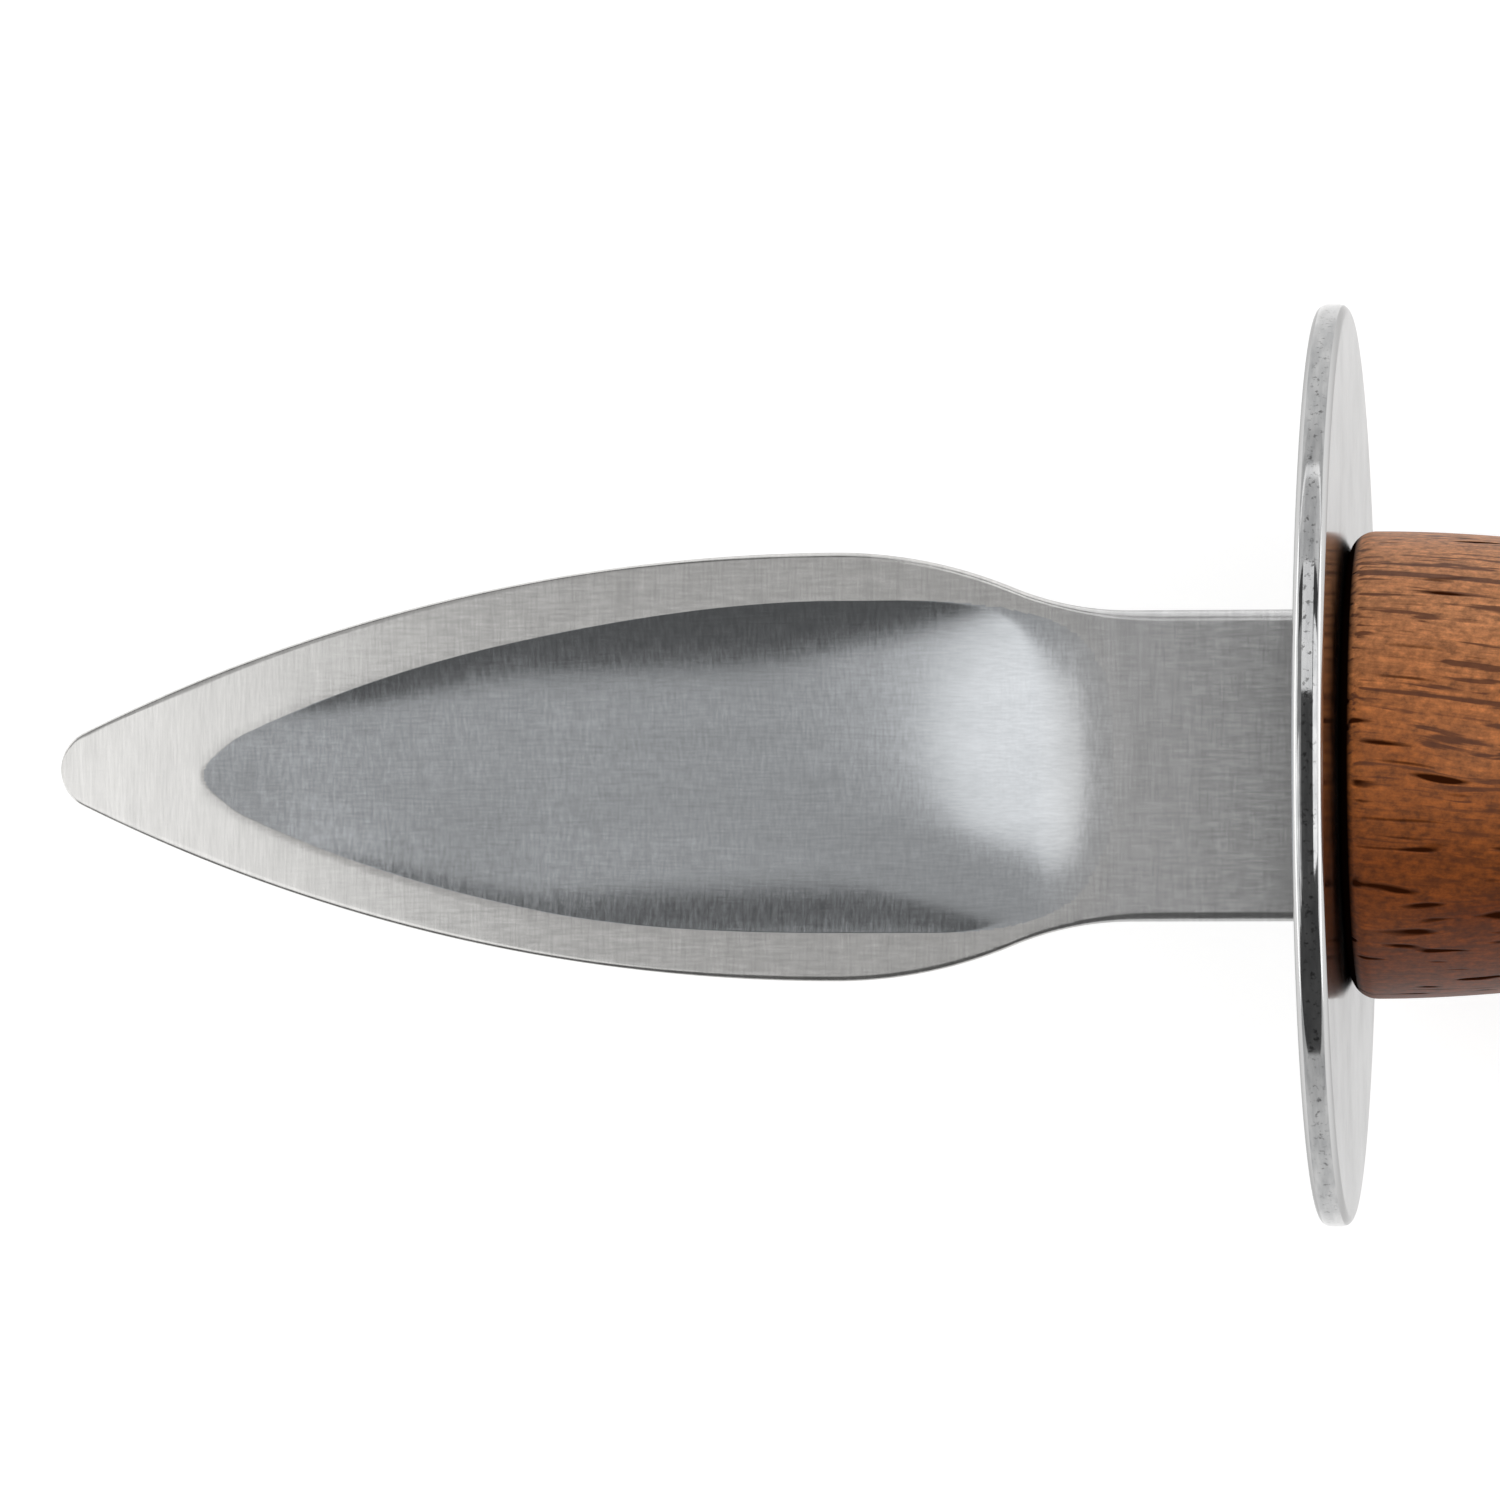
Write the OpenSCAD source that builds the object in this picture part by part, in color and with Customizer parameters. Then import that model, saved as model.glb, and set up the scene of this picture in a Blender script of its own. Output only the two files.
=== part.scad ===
// Oyster knife: a hollow-ground leaf blade, a round steel guard and a turned wooden handle.
// The knife's axis runs along X: the tip points to -X, the handle to +X. The hollow faces +Z.
// The origin is the centre of the guard's front face, where the neck of the blade meets it.

/* [Blade] */
// Length of the blade from the guard to the tip
blade_l = 62.3; // [52:0.1:75]
// Widest width of the blade
blade_w = 21; // [18:0.1:25]
// Distance from the guard to the widest place
belly_x = 23.7; // [21:0.1:28]
// Width of the neck at the guard
neck_w = 15.2; // [13:0.1:16.8]
// Length of the straight neck
neck_l = 10; // [7:0.1:12]
// Thickness of the neck, and of the blade along its middle
blade_t = 3; // [2.8:0.1:4]
// Thickness left at the outer edge of the leaf
edge_t = 0.5; // [0.3:0.1:0.8]
// Radius of the blunt tip, seen from above
tip_r = 1.6; // [1:0.1:2.2]

/* [Hollow] */
// Depth of the hollow below the flat land round it
hollow_depth = 1.8; // [1:0.1:1.8]
// Width of the flat land on each side of the hollow
land_w = 2.35; // [1.5:0.05:3]
// Length of the flat land at the tip
land_tip_l = 7.1; // [5:0.1:10]
// Radius of the hollow's nose near the tip
hollow_nose_r = 1.5; // [1:0.1:2]
// Distance from the guard to the end of the hollow, along the middle
hollow_end_x = 11.8; // [10:0.1:13]
// Radius of the hollow's end curve at the neck, seen from above
hollow_end_r = 14; // [12:0.5:18]

/* [Guard] */
// Diameter of the guard
guard_d = 45; // [36:0.5:52]
// Thickness of the guard
guard_t = 1.5; // [1.2:0.1:2.5]
// Radius of the guard's rounded rim
guard_edge_r = 0.5; // [0.2:0.05:0.5]

/* [Handle] */
// Length of the handle
handle_l = 98; // [85:0.5:115]
// Diameter at the front, just behind the rounded mouth
mouth_d = 22.8; // [20:0.1:26]
// Depth of the rounded mouth, along the axis and across it
mouth_round = 1.25; // [0.6:0.05:2]
// Distance from the guard to the waist
waist_x = 20; // [14:0.5:28]
// Diameter of the waist
waist_d = 20.4; // [18:0.1:22]
// Distance from the guard to the swell
swell_x = 64; // [54:0.5:70]
// Diameter of the swell
swell_d = 27.5; // [24:0.1:32]
// Diameter of the flat end of the butt
butt_flat_d = 8; // [6:0.5:14]

/* [Tang] */
// Length of the tang behind the guard's front face
tang_l = 58; // [50:0.5:66]
// Width of the tang
tang_w = 9; // [7:0.1:11]
// Thickness of the tang
tang_t = 2.4; // [2:0.1:2.6]
// Diameter of the two cross pins
pin_d = 3; // [2:0.1:4]
// Distance from the guard to the front pin
pin_front_x = 18; // [14:0.5:24]
// Distance from the guard to the rear pin
pin_rear_x = 44; // [34:0.5:46]
// Thickness of the adhesive between the tang and the wood
resin_t = 0.6; // [0.4:0.05:1]
// Clearance round the tang in the guard's slot
slot_gap = 0.1; // [0.05:0.05:0.2]
// Clearance round the pins in the tang
pin_gap = 0.05; // [0.02:0.01:0.1]

/* [Hidden] */
$fn = 96;

land_z = blade_t / 2;
belly_half = blade_w / 2;
neck_half = neck_w / 2;
hollow_half = belly_half - land_w;
hollow_tip_x = blade_l - land_tip_l;
handle_front_x = guard_t;
tang_root = 1;
tang_corner_r = 1.5;
cut = 1;

// The S-curve from the neck to the belly: two tangent arcs, the one at the belly the larger.
s_run = belly_x - neck_l;
s_rise = belly_half - neck_half;
s_radii = (s_run * s_run + s_rise * s_rise) / (2 * s_rise);
belly_arc_r = 0.6 * s_radii;
neck_arc_r = s_radii - belly_arc_r;
s_bend_x = neck_l + s_run * neck_arc_r / s_radii;

// The back and the hollow are spindles turned about two axes above the land, parallel to X.
back_axis = (belly_half * belly_half + edge_t * edge_t - blade_t * blade_t) / (2 * (blade_t - edge_t));
hollow_axis = (hollow_half * hollow_half - hollow_depth * hollow_depth) / (2 * hollow_depth);

// The hollow's neck end is part of a ball, sunk a little deeper than the hollow.
ball_sink = hollow_depth + 0.2;
ball_r = (hollow_end_r * hollow_end_r + ball_sink * ball_sink) / (2 * ball_sink);
ball_x = hollow_end_x + hollow_end_r;

s_steps = 8;
side_steps = 14;
tip_steps = 6;

// Radius of the side arc from the belly to a tip arc of radius r whose centre is d ahead.
function side_r(d, half, r) = (d * d + half * half - r * r) / (2 * (half - r));

// Where the side arc hands over to the tip arc.
function tip_start(end, half, r) =
    let (d = end - r - belly_x)
    end - r + r * d / (side_r(d, half, r) - r);

// Half width of a leaf that is widest at the belly and ends in a tip arc.
function leaf_half(x, end, half, r) =
    let (big = side_r(end - r - belly_x, half, r))
    x < belly_x ? half
    : x < tip_start(end, half, r) ? half - big + sqrt(big * big - pow(x - belly_x, 2))
    : sqrt(max(0, r * r - pow(x - end + r, 2)));

// Half width of the whole outline, neck and leaf.
function outline_half(x) =
    x <= neck_l ? neck_half
    : x < s_bend_x ? neck_half + neck_arc_r - sqrt(pow(neck_arc_r, 2) - pow(x - neck_l, 2))
    : x < belly_x ? belly_half - belly_arc_r + sqrt(pow(belly_arc_r, 2) - pow(belly_x - x, 2))
    : leaf_half(x, blade_l, belly_half, tip_r);

// Distances from the belly to the end of a leaf, closer together round the tip arc.
function leaf_stations(end, half, r) =
    let (from = tip_start(end, half, r), angle = acos((from - end + r) / r))
    concat(
        [for (i = [0 : side_steps - 1]) belly_x + (from - belly_x) * i / side_steps],
        [for (i = [0 : tip_steps]) end - r + r * cos(angle * (1 - i / tip_steps))]);

outline_stations = concat(
    [0],
    [for (i = [0 : s_steps - 1]) neck_l + s_run * i / s_steps],
    leaf_stations(blade_l, belly_half, tip_r));

module outline() {
    last = len(outline_stations) - 1;
    polygon(concat(
        [for (x = outline_stations) [-x, -outline_half(x)]],
        [for (i = [last - 1 : -1 : 0]) [-outline_stations[i], outline_half(outline_stations[i])]]));
}

// A spindle along X whose axis lies above the land. Each profile point is [radius, distance].
module spindle(axis, profile, end_x) {
    translate([0, 0, land_z + axis])
        rotate([0, -90, 0])
            rotate_extrude()
                polygon(concat([[0, profile[0].y]], profile, [[0, end_x]]));
}

module back_spindle() {
    low = back_axis + edge_t;
    stations = leaf_stations(blade_l, belly_half, tip_r);
    spindle(back_axis, concat(
        [[sqrt(pow(belly_half, 2) + low * low), -cut]],
        [for (x = stations) [sqrt(pow(leaf_half(x, blade_l, belly_half, tip_r), 2) + low * low), x]],
        [[low, blade_l + cut]]), blade_l + cut);
}

module hollow() {
    stations = leaf_stations(hollow_tip_x, hollow_half, hollow_nose_r);
    intersection() {
        spindle(hollow_axis, concat(
            [[sqrt(pow(hollow_half, 2) + pow(hollow_axis, 2)), hollow_end_x - cut]],
            [for (x = stations)
                [sqrt(pow(leaf_half(x, hollow_tip_x, hollow_half, hollow_nose_r), 2)
                    + pow(hollow_axis, 2)), x]],
            [[hollow_axis - cut, hollow_tip_x + 2 * cut]]), hollow_tip_x + 2 * cut);
        union() {
            translate([-ball_x, 0, land_z + ball_r - ball_sink])
                sphere(r = ball_r);
            translate([-blade_l, -blade_w, -blade_t])
                cube([blade_l - ball_x, 2 * blade_w, 2 * blade_t]);
        }
    }
}

module leaf() {
    difference() {
        intersection() {
            translate([0, 0, land_z - 2 * blade_t])
                linear_extrude(2 * blade_t)
                    outline();
            back_spindle();
        }
        hollow();
    }
}

// A flat bar along the axis from x0 to x1, with its two far corners rounded.
module bar(x0, x1, w, t, corner) {
    translate([0, 0, -t / 2])
        linear_extrude(t)
            polygon(concat(
                [[x0, -w / 2]],
                [for (a = [-90 : 15 : 0])
                    [x1 - corner + corner * cos(a), corner - w / 2 + corner * sin(a)]],
                [for (a = [0 : 15 : 90])
                    [x1 - corner + corner * cos(a), w / 2 - corner + corner * sin(a)]],
                [[x0, w / 2]]));
}

// A round bar across the handle from top to bottom.
module cross_bar(x, d) {
    translate([x, 0, -swell_d])
        cylinder(d = d, h = 2 * swell_d);
}

// Radius of the handle at distance x from its front face.
function handle_r(x) =
    let (mouth_r = mouth_d / 2, waist_r = waist_d / 2, swell_r = swell_d / 2)
    x < mouth_round ? mouth_r - mouth_round + sqrt(mouth_round * mouth_round - pow(mouth_round - x, 2))
    : x < waist_x ? mouth_r + (waist_r - mouth_r) * (1 - cos(180 * (x - mouth_round) / (waist_x - mouth_round))) / 2
    : x < swell_x ? waist_r + (swell_r - waist_r) * (1 - cos(180 * (x - waist_x) / (swell_x - waist_x))) / 2
    : butt_flat_d / 2 + (swell_r - butt_flat_d / 2)
        * sqrt(max(0, 1 - pow((x - swell_x) / (handle_l - swell_x), 2)));

handle_stations = concat(
    [for (a = [0 : 18 : 90]) mouth_round * (1 - cos(a))],
    [for (i = [1 : 7]) mouth_round + (waist_x - mouth_round) * i / 7],
    [for (i = [1 : 14]) waist_x + (swell_x - waist_x) * i / 14],
    [for (a = [7.5 : 7.5 : 90]) swell_x + (handle_l - swell_x) * sin(a)]);

// The turned handle before its mortise is cut.
module handle_blank() {
    translate([handle_front_x, 0, 0])
        rotate([0, 90, 0])
            rotate_extrude()
                polygon(concat(
                    [[0, 0]],
                    [for (x = handle_stations) [handle_r(x), x]],
                    [[0, handle_l]]));
}

module blade() {
    color([0.72, 0.73, 0.74])
        difference() {
            union() {
                leaf();
                bar(-tang_root, tang_l, tang_w, tang_t, tang_corner_r);
            }
            cross_bar(pin_front_x, pin_d + 2 * pin_gap);
            cross_bar(pin_rear_x, pin_d + 2 * pin_gap);
        }
}

module guard_disc() {
    rim = guard_d / 2 - guard_edge_r;
    color([0.85, 0.86, 0.87])
        difference() {
            rotate([0, 90, 0])
                rotate_extrude()
                    polygon(concat(
                        [[0, 0]],
                        [for (a = [-90 : 30 : 0])
                            [rim + guard_edge_r * cos(a), guard_edge_r + guard_edge_r * sin(a)]],
                        [for (a = [0 : 30 : 90])
                            [rim + guard_edge_r * cos(a), guard_t - guard_edge_r + guard_edge_r * sin(a)]],
                        [[0, guard_t]]));
            bar(-cut, 2 * tang_w, tang_w + 2 * slot_gap, tang_t + 2 * slot_gap, tang_corner_r);
        }
}

module handle() {
    color([0.56, 0.33, 0.19])
        difference() {
            handle_blank();
            bar(0, tang_l + resin_t, tang_w + 2 * resin_t, tang_t + 2 * resin_t, tang_corner_r);
            cross_bar(pin_front_x, pin_d);
            cross_bar(pin_rear_x, pin_d);
        }
}

module tang_resin() {
    color([0.35, 0.25, 0.15])
        difference() {
            bar(handle_front_x, tang_l + resin_t, tang_w + 2 * resin_t, tang_t + 2 * resin_t, tang_corner_r);
            bar(0, tang_l, tang_w, tang_t, tang_corner_r);
            cross_bar(pin_front_x, pin_d);
            cross_bar(pin_rear_x, pin_d);
        }
}

// A pin whose ends are finished flush with the handle.
module tang_pin(x) {
    color([0.78, 0.79, 0.8])
        intersection() {
            cross_bar(x, pin_d);
            handle_blank();
        }
}

blade();
guard_disc();
handle();
tang_resin();
tang_pin(pin_front_x);  // tang_pin_front
tang_pin(pin_rear_x);  // tang_pin_rear
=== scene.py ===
import math

import bpy
from mathutils import Matrix, Vector


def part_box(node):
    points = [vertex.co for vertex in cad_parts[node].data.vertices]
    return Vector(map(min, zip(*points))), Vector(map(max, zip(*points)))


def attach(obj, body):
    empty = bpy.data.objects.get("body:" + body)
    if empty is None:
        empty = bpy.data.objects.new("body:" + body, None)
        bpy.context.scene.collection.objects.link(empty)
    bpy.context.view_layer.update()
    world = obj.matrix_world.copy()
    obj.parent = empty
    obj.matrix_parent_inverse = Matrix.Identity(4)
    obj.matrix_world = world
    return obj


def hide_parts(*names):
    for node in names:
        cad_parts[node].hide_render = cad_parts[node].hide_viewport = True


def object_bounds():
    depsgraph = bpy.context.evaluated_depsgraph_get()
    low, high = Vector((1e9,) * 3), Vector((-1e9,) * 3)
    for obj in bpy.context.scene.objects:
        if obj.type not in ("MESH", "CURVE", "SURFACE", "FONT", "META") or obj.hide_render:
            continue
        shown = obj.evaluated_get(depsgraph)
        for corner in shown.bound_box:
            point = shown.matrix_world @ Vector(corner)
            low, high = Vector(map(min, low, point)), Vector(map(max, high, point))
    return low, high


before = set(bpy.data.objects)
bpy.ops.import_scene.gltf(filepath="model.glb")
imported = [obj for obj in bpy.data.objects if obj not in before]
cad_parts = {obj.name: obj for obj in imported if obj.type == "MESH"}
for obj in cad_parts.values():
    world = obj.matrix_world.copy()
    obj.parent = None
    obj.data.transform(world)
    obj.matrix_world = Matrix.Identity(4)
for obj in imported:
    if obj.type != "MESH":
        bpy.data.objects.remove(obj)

cad_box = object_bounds()

# Sizes in metres: the frame's boxes give what they can, and the rest are the part's own values
MM = 0.001
blade_low, blade_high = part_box("blade")
guard_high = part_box("guard_disc")[1]
handle_low, handle_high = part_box("handle")

BLADE_L = -blade_low.x
BLADE_HALF = blade_high.y
LAND_Z = blade_high.z
BLADE_T = blade_high.z - blade_low.z
TANG_L = blade_high.x
GUARD_R = guard_high.y
GUARD_T = guard_high.x
HANDLE_FRONT = handle_low.x
HANDLE_L = handle_high.x - handle_low.x
SWELL_R = handle_high.y

BELLY_X = 23.7 * MM
NECK_HALF = 7.6 * MM
EDGE_T = 0.5 * MM
BELLY_ARC_SHARE = 0.6

HOLLOW_DEPTH = 1.8 * MM
HOLLOW_HALF = BLADE_HALF - 2.35 * MM
HOLLOW_TIP_X = BLADE_L - 7.1 * MM
HOLLOW_END_X = 11.8 * MM

GUARD_EDGE_R = 0.5 * MM
MOUTH_R = 11.4 * MM
MOUTH_ROUND = 1.25 * MM
WAIST_X = 20 * MM
WAIST_R = 10.2 * MM
SWELL_X = 64 * MM
BUTT_FLAT_R = 4 * MM

TANG_ROOT = 1 * MM
TANG_W = 9 * MM
TANG_T = 2.4 * MM
TANG_CORNER_R = 1.5 * MM
RESIN_T = 0.6 * MM
SLOT_GAP = 0.1 * MM
PIN_R = 1.5 * MM
PIN_GAP = 0.05 * MM
PIN_XS = {"tang_pin_front": 18 * MM, "tang_pin_rear": 44 * MM}

# Curves of the leaf that are finer here than in the part, with rises and falls as lengths along it
NECK_L = 9.2 * MM
TIP_R = 2 * MM
LEAF_BREAK = 0.16 * MM
BELLY_BREAK = 0.14 * MM
BELLY_BREAK_RUN = 14 * MM
NECK_BREAK = 0.3 * MM
NECK_BREAK_PAST = 4 * MM
NECK_BREAK_RUN = 6 * MM

HOLLOW_NOSE_R = 1 * MM
HOLLOW_FULLER = 0.42 * MM
FULLER_RISE = 2 * MM
FULLER_FALL = 30 * MM
HOLLOW_LEAN = 0.3 * MM
LEAN_RISE = 15 * MM
LEAN_FALL = 5 * MM
NOSE_DROP = 0.09
NOSE_STEEPER = 0.55
STEEPER_FROM = HOLLOW_TIP_X - 17 * MM
STEEPER_RISE = 14 * MM

BOWL_R = 24 * MM
BOWL_X = HOLLOW_END_X + BOWL_R
BOWL_DEPTH = 3.2 * MM
BOWL_SKEW = 0.05
BOWL_BLEND = 1.4 * MM
RUN_OUT = 6.5 * MM
RUN_OUT_SHARE = 0.8
RUN_OUT_BREAK = 0.8 * MM
RIM_BREAK = 0.02 * MM

# Fineness of the meshes
HAIR = 0.01 * MM
MERGE_WITHIN = 0.002 * MM
CRISP_ANGLE = math.radians(35)
TOP_COLUMNS = 84
INNER_SHARE = 64 / TOP_COLUMNS
INNER_LEAST = 0.5 * MM
LAND_LEAST = 0.8 * MM
BACK_COLUMNS = 36
WALL_SHARE = 1 - 2 / BACK_COLUMNS
OUTERMOST = 0.999
NOSE_RUN = 3 * MM
PAST_NOSE = 1 * MM
HANDLE_COLUMNS = 192
RIM_POINTS = 256
PIN_POINTS = 64
OVERCUT = 5 * MM


# Shape of the leaf

def side_radius(ahead, half, end_r):
    """Radius of the side arc from the belly to a tip arc whose centre is that far ahead."""
    return (ahead ** 2 + half ** 2 - end_r ** 2) / (2 * (half - end_r))


def leaf_half(x, end, half, end_r):
    """Half width of a leaf that is widest at the belly and ends in a tip arc."""
    ahead = end - end_r - BELLY_X
    big = side_radius(ahead, half, end_r)
    tip_from = end - end_r + end_r * ahead / (big - end_r)
    if x < BELLY_X:
        return half
    if x < tip_from:
        return half - big + math.sqrt(big ** 2 - (x - BELLY_X) ** 2)
    return math.sqrt(max(0, end_r ** 2 - (x - end + end_r) ** 2))


def outline_half(x):
    """Half width of the whole outline: straight neck, S-curve, then the leaf."""
    run = BELLY_X - NECK_L
    rise = BLADE_HALF - NECK_HALF
    radii = (run ** 2 + rise ** 2) / (2 * rise)
    belly_r = BELLY_ARC_SHARE * radii
    neck_r = radii - belly_r
    if x <= NECK_L:
        return NECK_HALF
    if x < NECK_L + run * neck_r / radii:
        return NECK_HALF + neck_r - math.sqrt(neck_r ** 2 - (x - NECK_L) ** 2)
    if x < BELLY_X:
        return BLADE_HALF - belly_r + math.sqrt(belly_r ** 2 - (BELLY_X - x) ** 2)
    return leaf_half(x, BLADE_L, BLADE_HALF, TIP_R)


BACK_AXIS = (BLADE_HALF ** 2 + EDGE_T ** 2 - BLADE_T ** 2) / (2 * (BLADE_T - EDGE_T))
HOLLOW_AXIS = (HOLLOW_HALF ** 2 - HOLLOW_DEPTH ** 2) / (2 * HOLLOW_DEPTH)


def ease(share):
    """A share held between 0 and 1, with a soft start and end."""
    held = min(1, max(0, share))
    return held * held * (3 - 2 * held)


def hollow_half(x):
    """Half width of the ground hollow, whose sides are a little fuller than an arc behind its nose."""
    back = HOLLOW_TIP_X - x
    fuller = HOLLOW_FULLER * ease(back / FULLER_RISE) * (1 - ease(back / FULLER_FALL))
    return leaf_half(x, HOLLOW_TIP_X, HOLLOW_HALF, HOLLOW_NOSE_R) + fuller


def hollow_middle(x):
    """Where the hollow's middle lies across the blade: its nose was ground a hair nearer one edge."""
    return -HOLLOW_LEAN * ease((x - BELLY_X) / LEAN_RISE) * ease((BLADE_L - x) / LEAN_FALL)


def soft_min(a, b, blend):
    """The lesser of two depths, rounded off where they come within the blend of each other."""
    near = max(0, 1 - abs(a - b) / blend)
    return min(a, b) - blend / 4 * near ** 2


def faded_in(depth, blend):
    """The depth where it is more than the blend, none where it is that far above, a parabola between."""
    if depth > blend:
        return depth
    return max(0, depth + blend) ** 2 / (4 * blend)


def hollow_depth(x, y):
    """Depth of the ground hollow: a spindle, steeper at its nose, met at the neck by a wide, skewed bowl.

    Its rim is broken by a hair on the leaf, and fades out on the neck."""
    past_nose = max(0, x - HOLLOW_TIP_X)
    spindle_r = math.sqrt(hollow_half(x) ** 2 + HOLLOW_AXIS ** 2) - NOSE_DROP * past_nose
    steeper = 1 + NOSE_STEEPER * ease((x - STEEPER_FROM) / STEEPER_RISE)
    depth = (math.sqrt(spindle_r ** 2 - (y - hollow_middle(x)) ** 2) - HOLLOW_AXIS) * steeper
    ahead = max(0, BOWL_X - x)
    bowl = (BOWL_DEPTH - BOWL_SKEW * y) * (1 - (ahead ** 2 + y ** 2) / BOWL_R ** 2)
    depth = soft_min(depth, bowl, BOWL_BLEND)
    across = max(0, 1 - RUN_OUT_SHARE * (y / NECK_HALF) ** 2)
    fade = ease((HOLLOW_END_X + RUN_OUT - x) / RUN_OUT) * across
    return faded_in(depth, RIM_BREAK + RUN_OUT_BREAK * fade)


def edge_break(x):
    """Width over which the top's edges are rounded off: least on the leaf, most on the neck."""
    on_belly = ease((BELLY_X + BELLY_BREAK_RUN - x) / BELLY_BREAK_RUN)
    on_neck = ease((NECK_L + NECK_BREAK_PAST - x) / NECK_BREAK_RUN)
    return LEAF_BREAK + BELLY_BREAK * on_belly + NECK_BREAK * on_neck


def top_place(along, across):
    """A point of the blade's top at one of the stations, from one edge (-1) to the other (1)."""
    x = stations[round(along * (len(stations) - 1))]
    half = outline_half(x)
    sunk_half = hollow_half(x) if x < HOLLOW_TIP_X else 0
    inner = max(min(INNER_LEAST, half / 2), min(sunk_half, half - LAND_LEAST))
    middle = hollow_middle(x)
    if abs(across) < INNER_SHARE:
        y = middle + inner * math.sin(across / INNER_SHARE * math.pi / 2)
    else:
        land = (abs(across) - INNER_SHARE) / (1 - INNER_SHARE)
        border = middle + math.copysign(inner, across)
        y = border + (math.copysign(half, across) - border) * math.sin(land * math.pi / 2)
    broken = max(0, 1 - (half - abs(y)) / edge_break(x))
    return Vector((-x, y, LAND_Z - hollow_depth(x, y) - edge_break(x) / 2 * broken ** 2))


def back_place(along, across):
    """A point of the blade's rounded back, with the thin side walls that rise to the top's edges."""
    x = stations[round(along * (len(stations) - 1))]
    half = outline_half(x)
    if abs(across) > OUTERMOST:
        return Vector((-x, math.copysign(half, across), LAND_Z - edge_break(x) / 2))
    y = half * math.sin(across / WALL_SHARE * math.pi / 2)
    belly = leaf_half(x, BLADE_L, BLADE_HALF, TIP_R)
    spindle_r = math.sqrt(belly ** 2 + (BACK_AXIS + EDGE_T) ** 2)
    return Vector((-x, y, LAND_Z + BACK_AXIS - math.sqrt(spindle_r ** 2 - y ** 2)))


def run_of(start, end, steps):
    """Even stations from the start up to the end, without the end itself."""
    return [start + (end - start) * i / steps for i in range(steps)]


def tip_round(start, reach, steps):
    """Stations from the start to the end of a quarter round, closer together towards its end."""
    return [start + reach * math.sin(math.pi / 2 * i / steps) for i in range(steps + 1)]


# Rows of the blade's mesh, stretch by stretch from the guard to the tip
stations = (
    run_of(0, NECK_L, 30)
    + run_of(NECK_L, BELLY_X, 84)
    + run_of(BELLY_X, HOLLOW_TIP_X - NOSE_RUN, 84)
    + run_of(HOLLOW_TIP_X - NOSE_RUN, HOLLOW_TIP_X + PAST_NOSE, 40)
    + run_of(HOLLOW_TIP_X + PAST_NOSE, BLADE_L - TIP_R, 30)
    + tip_round(BLADE_L - TIP_R, TIP_R, 20)
)


# Shape of the handle

def handle_radius(x):
    """Radius of the turned handle at a distance from its front face."""
    if x < MOUTH_ROUND:
        return MOUTH_R - MOUTH_ROUND + math.sqrt(MOUTH_ROUND ** 2 - (MOUTH_ROUND - x) ** 2)
    if x < WAIST_X:
        share = (1 - math.cos(math.pi * (x - MOUTH_ROUND) / (WAIST_X - MOUTH_ROUND))) / 2
        return MOUTH_R + (WAIST_R - MOUTH_R) * share
    if x < SWELL_X:
        share = (1 - math.cos(math.pi * (x - WAIST_X) / (SWELL_X - WAIST_X))) / 2
        return WAIST_R + (SWELL_R - WAIST_R) * share
    reach = min(1, (x - SWELL_X) / (HANDLE_L - SWELL_X))
    return BUTT_FLAT_R + (SWELL_R - BUTT_FLAT_R) * math.sqrt(1 - reach ** 2)


# Rows of the handle's mesh, from its mouth to its butt
handle_stations = (
    [MOUTH_ROUND * (1 - math.cos(math.pi / 2 * i / 10)) for i in range(10)]
    + run_of(MOUTH_ROUND, SWELL_X, 90)
    + tip_round(SWELL_X, HANDLE_L - SWELL_X, 40)
)


def handle_place(along, around):
    """A point of the handle's skin at one of its stations, round the axis."""
    x = handle_stations[round(along * (len(handle_stations) - 1))]
    angle = math.pi * around
    radius = handle_radius(x)
    return Vector((HANDLE_FRONT + x, radius * math.cos(angle), radius * math.sin(angle)))


# Modelling helpers

def nothing_selected():
    if bpy.context.mode != "OBJECT":
        bpy.ops.object.mode_set(mode="OBJECT")
    bpy.ops.object.select_all(action="DESELECT")


def select_only(piece):
    nothing_selected()
    piece.select_set(True)
    bpy.context.view_layer.objects.active = piece


def settle(piece, name):
    """Names the piece and moves its place into its mesh."""
    piece.name = piece.data.name = name
    select_only(piece)
    bpy.ops.object.transform_apply(location=True, rotation=True, scale=True)
    return piece


def shaped_grid(name, rows, columns, place):
    """A grid primitive whose points are put in place by their shares along it and across it."""
    nothing_selected()
    bpy.ops.mesh.primitive_grid_add(x_subdivisions=rows, y_subdivisions=columns, size=2)
    piece = bpy.context.object
    for point in piece.data.vertices:
        point.co = place((point.co.x + 1) / 2, point.co.y)
    return settle(piece, name)


def join(pieces, name):
    nothing_selected()
    for piece in pieces:
        piece.select_set(True)
    bpy.context.view_layer.objects.active = pieces[0]
    bpy.ops.object.join()
    return settle(bpy.context.object, name)


def open_for_editing(piece, kind):
    """Goes into edit mode on a piece's points, edges or faces, with none of them selected."""
    select_only(piece)
    bpy.ops.object.mode_set(mode="EDIT")
    bpy.ops.mesh.select_mode(type=kind)
    bpy.ops.mesh.select_all(action="DESELECT")


def end_editing():
    bpy.ops.mesh.select_mode(type="VERT")
    bpy.ops.object.mode_set(mode="OBJECT")


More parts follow.
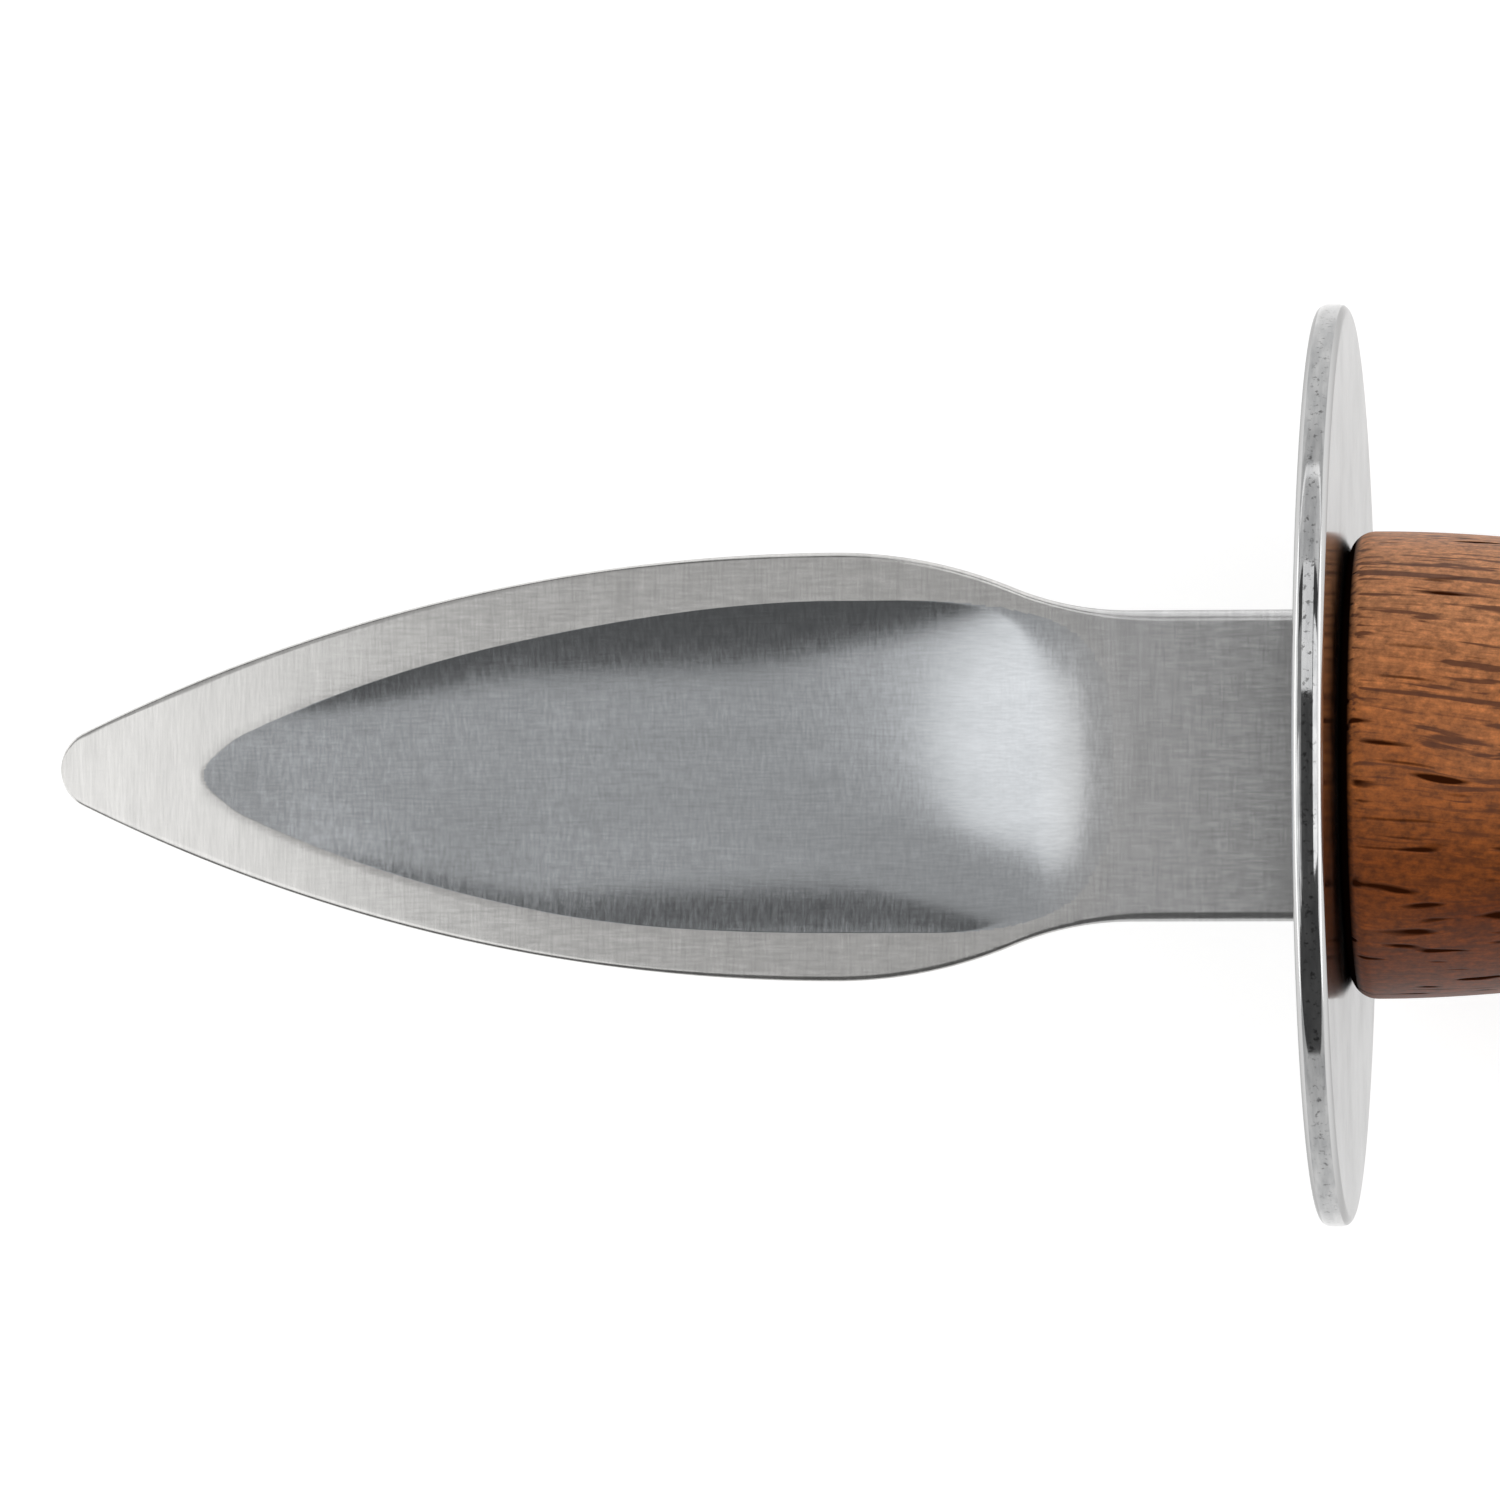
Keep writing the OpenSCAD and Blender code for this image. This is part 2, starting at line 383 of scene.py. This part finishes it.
def close(piece):
    """Merges doubled points, fills the open ends and turns the faces outwards."""
    open_for_editing(piece, "VERT")
    bpy.ops.mesh.select_all(action="SELECT")
    bpy.ops.mesh.remove_doubles(threshold=MERGE_WITHIN)
    bpy.ops.mesh.select_all(action="DESELECT")
    bpy.ops.mesh.select_mode(type="EDGE")
    bpy.ops.mesh.select_non_manifold(extend=False)
    bpy.ops.mesh.fill_holes(sides=0)
    bpy.ops.mesh.select_all(action="SELECT")
    bpy.ops.mesh.normals_make_consistent(inside=False)
    end_editing()


def smooth(piece):
    select_only(piece)
    bpy.ops.object.shade_smooth_by_angle(angle=CRISP_ANGLE)


def bevel_edges(piece, chosen, size, segments):
    """Bevels the edges whose two ends the chooser picks."""
    open_for_editing(piece, "EDGE")
    bpy.ops.object.mode_set(mode="OBJECT")
    for edge in piece.data.edges:
        a, b = [piece.data.vertices[i].co for i in edge.vertices]
        edge.select = chosen(a, b)
    bpy.ops.object.mode_set(mode="EDIT")
    bpy.ops.mesh.bevel(offset=size, segments=segments)
    end_editing()


def bar(name, x0, x1, width, thickness):
    """A flat bar along the axis whose two far corners are rounded."""
    nothing_selected()
    bpy.ops.mesh.primitive_cube_add(
        size=1, location=((x0 + x1) / 2, 0, 0), scale=(x1 - x0, width, thickness)
    )
    piece = settle(bpy.context.object, name)
    bevel_edges(piece, lambda a, b: min(a.x, b.x) > x1 - HAIR and a.y * b.y > 0, TANG_CORNER_R, 8)
    return piece


def cross_bar(name, x, radius):
    """A round bar across the handle from top to bottom."""
    nothing_selected()
    bpy.ops.mesh.primitive_cylinder_add(
        vertices=PIN_POINTS, radius=radius, depth=4 * SWELL_R, location=(x, 0, 0)
    )
    return settle(bpy.context.object, name)


def cut(piece, tools):
    """Cuts the tools' shapes out of the piece, and clears the tools and the slivers away."""
    for tool in tools:
        select_only(piece)
        modifier = piece.modifiers.new("cut", "BOOLEAN")
        modifier.operation = "DIFFERENCE"
        modifier.solver = "EXACT"
        modifier.object = tool
        bpy.ops.object.modifier_apply(modifier=modifier.name)
        bpy.data.objects.remove(tool)
    open_for_editing(piece, "FACE")
    bpy.ops.mesh.select_face_by_sides(number=4, type="GREATER", extend=False)
    bpy.ops.mesh.quads_convert_to_tris()
    bpy.ops.mesh.select_all(action="SELECT")
    bpy.ops.mesh.dissolve_degenerate(threshold=MERGE_WITHIN)
    end_editing()


def pin_cutters(radius):
    return [cross_bar(f"{name}_cutter", x, radius) for name, x in PIN_XS.items()]


def finish_piece(piece, node, materials):
    """Gives the piece its materials, puts it on the root body and lets it stand for its node."""
    piece.data.materials.clear()
    for material in materials:
        piece.data.materials.append(material)
    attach(piece, "root")
    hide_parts(node)


# Material helpers

def linear(hex_colour):
    """A colour written as sRGB hex, as the linear colour that a shader takes."""
    parts = [int(hex_colour[i:i + 2], 16) / 255 for i in (1, 3, 5)]
    return [c / 12.92 if c <= 0.04045 else ((c + 0.055) / 1.055) ** 2.4 for c in parts] + [1]


def add_node(tree, kind, inputs=(), out=0, **settings):
    """Adds a node with its settings, and gives one of its outputs.

    Its inputs, by name or in their order, are values or the outputs that feed them."""
    node = tree.nodes.new("ShaderNode" + kind)
    for key, value in settings.items():
        setattr(node, key, value)
    given = inputs if isinstance(inputs, dict) else dict(enumerate(inputs))
    for key, value in given.items():
        if isinstance(value, bpy.types.NodeSocket):
            tree.links.new(value, node.inputs[key])
        else:
            node.inputs[key].default_value = value
    return node.outputs[out] if node.outputs else None


def new_material(name):
    """A material whose tree has no node yet, and that tree."""
    material = bpy.data.materials.new(name)
    material.use_nodes = True
    material.node_tree.nodes.clear()
    return material, material.node_tree


def place_mm(tree, axis):
    """How far along one of the piece's own axes a point lies, in millimetres."""
    place = add_node(tree, "TexCoord", out="Object")
    along = add_node(tree, "SeparateXYZ", (place,), out=axis)
    return add_node(tree, "Math", (along, MM), operation="DIVIDE")


def pattern(tree, size, detail, roughness, slope=0, wander=None, bend=0):
    """Noise with lumps of a real size, in millimetres along each of the piece's own axes.

    It may slope by some degrees, and wander where another pattern pushes it across the grain."""
    mapping = {
        "Vector": add_node(tree, "TexCoord", out="Object"),
        "Rotation": (0, 0, math.radians(slope)),
        "Scale": [side * MM for side in size],
    }
    vector = add_node(tree, "Mapping", mapping, vector_type="TEXTURE")
    if wander is not None:
        push = add_node(tree, "VectorMath", (wander, (0, bend, bend)), operation="MULTIPLY")
        vector = add_node(tree, "VectorMath", (vector, push), operation="ADD")
    noise = {"Vector": vector, "Scale": 1.0, "Detail": detail, "Roughness": roughness}
    return add_node(tree, "TexNoise", noise, out="Fac")


# Materials

# A Mix node of colours takes its factor at 0 and the colours at 6 and 7, and gives its result at 2
COLOURS = {"data_type": "RGBA", "out": 2}

# The range in which most of a noise pattern lies
NOISE = (0.3, 0.7)

# Where a finish, or a painted light or shade, gives way to the next, in millimetres from the guard's
# front face or the axis
NECK_STEEL = (-14, -9.5)
FRONT_POLISH = (0.35, 0.6)
REAR_POLISH = (1.25, 1.0)
# The handle is painted darker towards -Y as shade and lighter towards +Y as lit, over these spans in mm
# from the axis
PAINTED_SHADE_SIDE = (-7.5, 1.5)
PAINTED_LIGHT_SIDE = (0, 10)
FAINT_LINES = (-5, 2)
MORE_PORES = (-2, 5)
# Painted shade of the crevice at the guard: the wood is painted almost black up to these distances, in mm
# from the guard's front face
PAINTED_CREVICE_SHADE = (HANDLE_FRONT / MM + 0.4, HANDLE_FRONT / MM + 0.7)

GRAIN_SLOPE = -6
OIL_GLOSS = 0.3


def brushed_stainless(name, colour, neck_colour, streak, band, fleck, rough):
    """Stainless steel brushed in one direction: fine streaks shade it, and flecks spread its gloss.

    Its colour changes where the hollow runs out on the neck. streak, band and fleck are their sizes in mm
    along the axes. Real scratches are too fine to show, so the streaks are 0.12 mm wide."""
    material, tree = new_material(name)
    on_neck = add_node(tree, "MapRange", (place_mm(tree, "X"), *NECK_STEEL))
    steel = add_node(tree, "Mix", {0: on_neck, 6: linear(colour), 7: linear(neck_colour)}, **COLOURS)
    streaks = pattern(tree, streak, 3, 0.6)
    bands = pattern(tree, band, 2, 0.5)
    flecks = pattern(tree, fleck, 2, 0.6)
    streaked = add_node(tree, "MapRange", (streaks, *NOISE, 0.93, 1.06))
    banded = add_node(tree, "MapRange", (bands, *NOISE, 0.96, 1.04))
    flecked = add_node(tree, "MapRange", (flecks, *NOISE, 0.95, 1.05))
    shade = add_node(tree, "Math", (streaked, banded), operation="MULTIPLY")
    shade = add_node(tree, "Math", (shade, flecked), operation="MULTIPLY")
    shaded = add_node(tree, "Mix", {0: 1.0, 6: steel, 7: shade}, blend_type="MULTIPLY", **COLOURS)
    gloss = add_node(tree, "MapRange", (flecks, *NOISE, rough - 0.03, rough + 0.03))
    relief = add_node(tree, "Bump", {"Height": streaks, "Strength": 0.2, "Distance": 0.004 * MM})
    surface = {"Base Color": shaded, "Metallic": 1.0, "Roughness": gloss, "Normal": relief}
    add_node(tree, "OutputMaterial", {"Surface": add_node(tree, "BsdfPrincipled", surface)})
    return material


def buffed_stainless():
    """Stainless sheet buffed to a mirror: a sharp reflection, faint haze, duller seen edge-on."""
    material, tree = new_material("buffed_stainless_mirror")
    haze = pattern(tree, (5, 5, 5), 4, 0.6)
    surface = {
        "Base Color": linear("#c8c8c8"),
        "Specular Tint": (0.6, 0.6, 0.6, 1),
        "Metallic": 1.0,
        "Roughness": add_node(tree, "MapRange", (haze, 0.35, 0.7, 0.1, 0.17)),
    }
    add_node(tree, "OutputMaterial", {"Surface": add_node(tree, "BsdfPrincipled", surface)})
    return material


def punched_stainless_edge():
    """The punched rim of the sheet: its rounded edges are polished, its middle has dark tear marks."""
    material, tree = new_material("punched_stainless_edge")
    across = place_mm(tree, "X")
    past_front = add_node(tree, "MapRange", (across, *FRONT_POLISH))
    before_rear = add_node(tree, "MapRange", (across, *REAR_POLISH))
    middle = add_node(tree, "Math", (past_front, before_rear), operation="MULTIPLY")
    tears = pattern(tree, (0.28, 0.3, 0.3), 2, 0.6)
    torn = add_node(tree, "MapRange", (tears, 0.43, 0.3))
    pits = add_node(tree, "Math", (torn, middle), operation="MULTIPLY")
    haze = pattern(tree, (0.5, 2.5, 2.5), 3, 0.6)
    hazy = add_node(tree, "MapRange", (haze, *NOISE))
    steel = add_node(tree, "Mix", {0: hazy, 6: linear("#939495"), 7: linear("#b6b6b6")}, **COLOURS)
    pitted = add_node(tree, "Mix", {0: pits, 6: steel, 7: linear("#666666")}, **COLOURS)
    gloss = add_node(tree, "MapRange", (haze, *NOISE, 0.06, 0.1))
    sunk = add_node(tree, "Math", (0, pits), operation="SUBTRACT")
    relief = add_node(tree, "Bump", {"Height": sunk, "Strength": 0.12, "Distance": 0.004 * MM})
    surface = {"Base Color": pitted, "Metallic": 1.0, "Roughness": gloss, "Normal": relief}
    add_node(tree, "OutputMaterial", {"Surface": add_node(tree, "BsdfPrincipled", surface)})
    return material


def oiled_hardwood():
    """Turned reddish hardwood, oiled, with long grain lines and open pores that slope across the handle.

    One side is painted darker as shade and the other lighter as lit, as if the light fell from that side.
    The wood next to the guard is painted almost black as the shade in the crevice there, and its gloss is
    dulled."""
    material, tree = new_material("oiled_red_hardwood")
    wander = pattern(tree, (13, 5, 5), 2, 0.5)
    wandering = add_node(tree, "MapRange", (wander, *NOISE, -2.5, 2.5))
    y = add_node(tree, "Math", (place_mm(tree, "Y"), wandering), operation="ADD")
    # Painted shade and painted light: the wood darkens towards -Y and lightens towards +Y, as if lit from
    # +Y
    out_of_painted_shade = add_node(tree, "MapRange", (y, *PAINTED_SHADE_SIDE))
    painted_shade_tone = add_node(tree, "Mix", {0: out_of_painted_shade, 6: linear("#6c320a"), 7: linear("#9c5722")}, **COLOURS)
    into_painted_light = add_node(tree, "MapRange", (y, *PAINTED_LIGHT_SIDE))
    base = add_node(tree, "Mix", {0: into_painted_light, 6: painted_shade_tone, 7: linear("#b57a50")}, **COLOURS)

    fibres = pattern(tree, (5, 0.2, 0.2), 3, 0.6, GRAIN_SLOPE, wander, 10)
    mottle = pattern(tree, (0.5, 0.4, 0.4), 3, 0.7)
    mottled = add_node(tree, "MapRange", (mottle, *NOISE, 0.55, 1.45))
    fibrous = add_node(tree, "MapRange", (fibres, *NOISE, 0.75, 1.25))
    figure = add_node(tree, "Math", (mottled, fibrous), operation="MULTIPLY")
    figured = add_node(tree, "Mix", {0: 1.0, 6: base, 7: figure}, blend_type="MULTIPLY", **COLOURS)

    long_grain = pattern(tree, (7, 0.36, 0.36), 2, 0.55, GRAIN_SLOPE, wander, 6)
    lines = add_node(tree, "MapRange", (long_grain, 0.55, 0.63, 0, 0.85))
    strength = add_node(tree, "MapRange", (y, *FAINT_LINES, 0.6, 1))
    lines = add_node(tree, "Math", (lines, strength), operation="MULTIPLY")
    grained = add_node(tree, "Mix", {0: lines, 6: figured, 7: linear("#4e260e")}, **COLOURS)

    cells = pattern(tree, (4.2, 0.48, 0.48), 0, 0.4, GRAIN_SLOPE, wander, 2)
    more = add_node(tree, "MapRange", (y, *MORE_PORES, 0.03, 0))
    cells = add_node(tree, "Math", (cells, more), operation="ADD")
    pores = add_node(tree, "MapRange", (cells, 0.71, 0.8))
    pored = add_node(tree, "Mix", {0: pores, 6: grained, 7: linear("#321507")}, **COLOURS)
    # Painted shade: the wood just behind the guard is painted almost black for the shade in the crevice
    # there
    crevice_shade_mask = add_node(tree, "MapRange", (place_mm(tree, "X"), *PAINTED_CREVICE_SHADE, 1, 0))
    crevice_shaded = add_node(tree, "Mix", {0: crevice_shade_mask, 6: pored, 7: linear("#0d0402")}, **COLOURS)

    dry = add_node(tree, "Math", (pores, crevice_shade_mask), operation="MAXIMUM")
    lost = add_node(tree, "Math", (OIL_GLOSS, dry), operation="MULTIPLY")
    gloss = add_node(tree, "Math", (OIL_GLOSS, lost), operation="SUBTRACT")
    raised = add_node(tree, "Math", (fibres, 0.3), operation="MULTIPLY")
    height = add_node(tree, "Math", (raised, pores), operation="SUBTRACT")
    relief = add_node(tree, "Bump", {"Height": height, "Strength": 0.5, "Distance": 0.05 * MM})
    surface = {"Base Color": crevice_shaded, "Roughness": 0.5, "Specular IOR Level": gloss, "Normal": relief}
    add_node(tree, "OutputMaterial", {"Surface": add_node(tree, "BsdfPrincipled", surface)})
    return material


def cured_epoxy():
    """Epoxy that has set in the mortise: dark, slightly glossy, with small bubbles."""
    material, tree = new_material("cured_epoxy")
    bubbles = pattern(tree, (0.6, 0.6, 0.6), 2, 0.5)
    bubbly = add_node(tree, "MapRange", (bubbles, 0.4, 0.7))
    shade = add_node(tree, "Mix", {0: bubbly, 6: linear("#2b1d12"), 7: linear("#4a3624")}, **COLOURS)
    surface = {"Base Color": shade, "Roughness": 0.35}
    add_node(tree, "OutputMaterial", {"Surface": add_node(tree, "BsdfPrincipled", surface)})
    return material


# Pieces

SIDEWAYS = 0.5
GROUND_FROM_EDGE = 0.5 * MM
GROUND_PAST_BOWL = 1.8 * MM
SLOT_CUTTER_END = 15 * MM
PIN_BORE_GAP = 0.03 * MM


def make_blade(materials):
    """The leaf joined to its tang. The hollow's faces get the second steel, the rest the first."""
    rows = len(stations) - 1
    top = shaped_grid("blade_top", rows, TOP_COLUMNS, top_place)
    back = shaped_grid("blade_back", rows, BACK_COLUMNS, back_place)
    leaf = join([top, back], "blade_leaf")
    close(leaf)
    tang = bar("blade_tang", -TANG_ROOT, TANG_L, TANG_W, TANG_T)
    cut(tang, pin_cutters(PIN_R + PIN_GAP))
    blade = join([leaf, tang], "hollow_ground_blade")
    finish_piece(blade, "blade", materials)
    for face in blade.data.polygons:
        x, y = -face.center.x, face.center.y
        sunk = face.normal.z > SIDEWAYS and face.center.z < LAND_Z - HAIR
        clear_of_edge = outline_half(x) - abs(y) > GROUND_FROM_EDGE
        in_bowl = math.hypot(min(0, x - BOWL_X), y) < BOWL_R + GROUND_PAST_BOWL
        face.material_index = 1 if sunk and clear_of_edge and in_bowl else 0
    smooth(blade)


def shade_disc(guard):
    """Gives the disc's rounded edges their exact normals, so that its flats mirror as flats.

    The slot, which lies within the tang's width of the axis, keeps the normals of its faces."""
    normals = []
    for face in guard.data.polygons:
        for i in face.vertices:
            x, y, z = guard.data.vertices[i].co
            radius = math.hypot(y, z)
            if radius < TANG_W:
                normals.append(face.normal)
                continue
            out = max(0, radius - GUARD_R + GUARD_EDGE_R) / radius
            along = x - min(max(x, GUARD_EDGE_R), GUARD_T - GUARD_EDGE_R)
            normals.append(Vector((along, y * out, z * out)).normalized())
    guard.data.normals_split_custom_set(normals)


def make_guard(materials):
    """The disc with its rounded edges and the tang's slot, its rim in the second material."""
    nothing_selected()
    bpy.ops.mesh.primitive_cylinder_add(
        vertices=RIM_POINTS, radius=GUARD_R, depth=GUARD_T,
        location=(GUARD_T / 2, 0, 0), rotation=(0, math.pi / 2, 0)
    )
    guard = settle(bpy.context.object, "round_guard")
    bevel_edges(guard, lambda a, b: abs(a.x - b.x) < HAIR, GUARD_EDGE_R, 6)
    slot_sides = (TANG_W + 2 * SLOT_GAP, TANG_T + 2 * SLOT_GAP)
    cut(guard, [bar("guard_slot_cutter", -OVERCUT, SLOT_CUTTER_END, *slot_sides)])
    finish_piece(guard, "guard_disc", materials)
    for face in guard.data.polygons:
        face.material_index = 1 if abs(face.normal.x) < SIDEWAYS else 0
    smooth(guard)
    shade_disc(guard)


def make_handle(materials):
    """The turned handle with the mortise for the tang and the two pin bores."""
    handle = shaped_grid("handle_skin", len(handle_stations) - 1, HANDLE_COLUMNS, handle_place)
    close(handle)
    mortise_sides = (TANG_W + 2 * RESIN_T, TANG_T + 2 * RESIN_T)
    mortise = bar("mortise_cutter", -OVERCUT, TANG_L + RESIN_T, *mortise_sides)
    cut(handle, [mortise] + pin_cutters(PIN_R + PIN_BORE_GAP))
    settle(handle, "turned_handle")
    finish_piece(handle, "handle", materials)
    smooth(handle)


def make_pin(node, x, materials):
    """A pin filed flush with the handle: its end faces follow the handle's own curve."""
    nothing_selected()
    bpy.ops.mesh.primitive_cylinder_add(
        vertices=PIN_POINTS, radius=PIN_R, depth=1, location=(x, 0, 0), end_fill_type="TRIFAN"
    )
    pin = settle(bpy.context.object, f"filed_{node}")
    bpy.ops.object.mode_set(mode="EDIT")
    bpy.ops.mesh.select_all(action="SELECT")
    bpy.ops.mesh.subdivide(number_cuts=3)
    bpy.ops.object.mode_set(mode="OBJECT")
    for point in pin.data.vertices:
        radius = handle_radius(point.co.x - HANDLE_FRONT)
        point.co.z *= 2 * math.sqrt(radius ** 2 - point.co.y ** 2)
    finish_piece(pin, node, materials)
    smooth(pin)


epoxy = cured_epoxy()
flats = brushed_stainless(
    "cross_brushed_stainless", colour="#d2d1cf", neck_colour="#d0d0d0",
    streak=(0.12, 1.6, 1.6), band=(0.7, 5, 5), fleck=(1.1, 0.14, 0.6), rough=0.2
)
ground = brushed_stainless(
    "belt_ground_stainless", colour="#c0c3c6", neck_colour="#d0d0d0",
    streak=(1.6, 0.12, 0.12), band=(12, 1.5, 1.5), fleck=(0.14, 0.8, 0.8), rough=0.18
)
pin_steel = brushed_stainless(
    "filed_stainless", colour="#cfcecb", neck_colour="#cfcecb",
    streak=(0.12, 4, 4), band=(3, 3, 3), fleck=(0.2, 1, 1), rough=0.26
)
make_blade([flats, ground])
make_guard([buffed_stainless(), punched_stainless_edge()])
make_handle([oiled_hardwood()])
for pin_node, pin_x in PIN_XS.items():
    make_pin(pin_node, pin_x, [pin_steel])
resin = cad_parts["tang_resin"]
resin.data.materials.clear()
resin.data.materials.append(epoxy)


# Studio

PAPER_SHARE = 0.55
PAPER_WHITE = 1.4
PAPER_RADIUS = 3.0
PAPER_WALL = 0.8
PAPER_BEND = 0.4
ROOM_LIGHT = 0.12


def pale_paper():
    """White studio paper: it keeps the shadow, and the camera and the steel see it as white."""
    material, tree = new_material("pale_studio_paper")
    paper = add_node(tree, "BsdfDiffuse", {"Color": linear("#f4f4f3")})
    white = add_node(tree, "Emission", {"Color": linear("#ffffff"), "Strength": PAPER_WHITE})
    seen = 0
    for ray in ("Is Camera Ray", "Is Glossy Ray", "Is Transmission Ray"):
        such_ray = add_node(tree, "LightPath", out=ray)
        seen = add_node(tree, "Math", (seen, such_ray), operation="MAXIMUM")
    share = add_node(tree, "Math", (seen, PAPER_SHARE), operation="MULTIPLY")
    both = add_node(tree, "MixShader", (share, paper, white))
    add_node(tree, "OutputMaterial", {"Surface": both})
    return material


def make_paper():
    """A round sheet of paper under the knife whose border turns up into a low wall."""
    nothing_selected()
    bpy.ops.mesh.primitive_cylinder_add(
        vertices=96, radius=PAPER_RADIUS, depth=PAPER_WALL,
        location=(0, 0, cad_box[0][2] + PAPER_WALL / 2)
    )
    paper = settle(bpy.context.object, "paper_sweep")
    top = max(point.co.z for point in paper.data.vertices)
    open_for_editing(paper, "FACE")
    bpy.ops.object.mode_set(mode="OBJECT")
    for face in paper.data.polygons:
        face.select = face.center.z > top - HAIR
    bpy.ops.object.mode_set(mode="EDIT")
    bpy.ops.mesh.delete(type="ONLY_FACE")
    end_editing()
    bevel_edges(paper, lambda a, b: max(a.z, b.z) < top - HAIR, PAPER_BEND, 8)
    paper.data.materials.append(pale_paper())
    smooth(paper)


def soft_box(name, centre, size, radiance, turn=(0, 0, 0)):
    """A rectangular lamp, evenly bright and unseen, that shines down or is turned by some degrees."""
    data = bpy.data.lights.new(name, "AREA")
    data.shape = "RECTANGLE"
    data.size, data.size_y = size
    data.energy = radiance * math.pi * size[0] * size[1]
    lamp = bpy.data.objects.new(name, data)
    lamp.location = centre
    lamp.rotation_euler = [math.radians(angle) for angle in turn]
    lamp.visible_camera = False
    bpy.context.scene.collection.objects.link(lamp)


# Low boxes and a strip for the leaf and the guard's rim, then boxes all round for what the steel mirrors
make_paper()
soft_box("low_left_box", (-0.108, -0.055, 0.2), (0.065, 0.165), 0.86, (0, 0, 8))
soft_box("far_left_box", (-0.2, -0.086, 0.2), (0.119, 0.2), 0.78, (0, 0, 8))
soft_box("low_wide_box", (-0.168, 0.013, 0.206), (0.3, 0.25), 0.35)
soft_box("right_box", (0.442, 0.09, 0.7), (0.785, 0.86), 1.8)
soft_box("rim_strip", (-0.0155, 0.147, 0.2), (0.01, 0.17), 1.6, (0, 0, 2))
soft_box("back_strip", (-0.075, 1.1, 0.52), (0.11, 0.62), 0.8, (-64.7, 0, 0))
soft_box("back_left_box", (-0.64, 1.1, 0.52), (1.0, 0.62), 0.95, (-64.7, 0, 0))
soft_box("back_right_box", (0.56, 1.1, 0.52), (1.14, 0.62), 0.95, (-64.7, 0, 0))
soft_box("left_wall", (-0.95, 0, 0.42), (0.75, 1.6), 1.3, (0, -90, 0))
soft_box("right_wall", (1.0, 0, 0.42), (0.75, 1.6), 1.3, (0, 90, 0))

world = bpy.data.worlds.new("dim_room")
bpy.context.scene.world = world
world.use_nodes = True
world.node_tree.nodes.clear()
air = add_node(world.node_tree, "Background", {"Color": linear("#ffffff"), "Strength": ROOM_LIGHT})
add_node(world.node_tree, "OutputWorld", {"Surface": air})


# Camera: straight above, a little towards the handle, on a long lens

CAMERA_PLACE = Vector((28.5 * MM, 0, 450 * MM))
CAMERA_AIM = Vector((-28.1 * MM, 0.85 * MM, 0))
VIEW_WIDTH = 73.8 * MM
CAMERA_ROLL = math.radians(-0.2)
SENSOR = 36 * MM

camera_data = bpy.data.cameras.new("photo_camera")
camera_data.sensor_width = SENSOR / MM
camera_data.lens = SENSOR / MM * (CAMERA_PLACE - CAMERA_AIM).length / VIEW_WIDTH
camera_data.clip_start = 0.01
camera = bpy.data.objects.new("photo_camera", camera_data)
look = (CAMERA_AIM - CAMERA_PLACE).normalized()
right = look.cross(Vector((0, 1, 0))).normalized()
up = right.cross(look)
turn = Matrix((right, up, -look)).transposed() @ Matrix.Rotation(CAMERA_ROLL, 3, "Z")
camera.matrix_world = Matrix.Translation(CAMERA_PLACE) @ turn.to_4x4()
bpy.context.scene.collection.objects.link(camera)
bpy.context.scene.camera = camera
bpy.context.scene.view_settings.view_transform = "Standard"
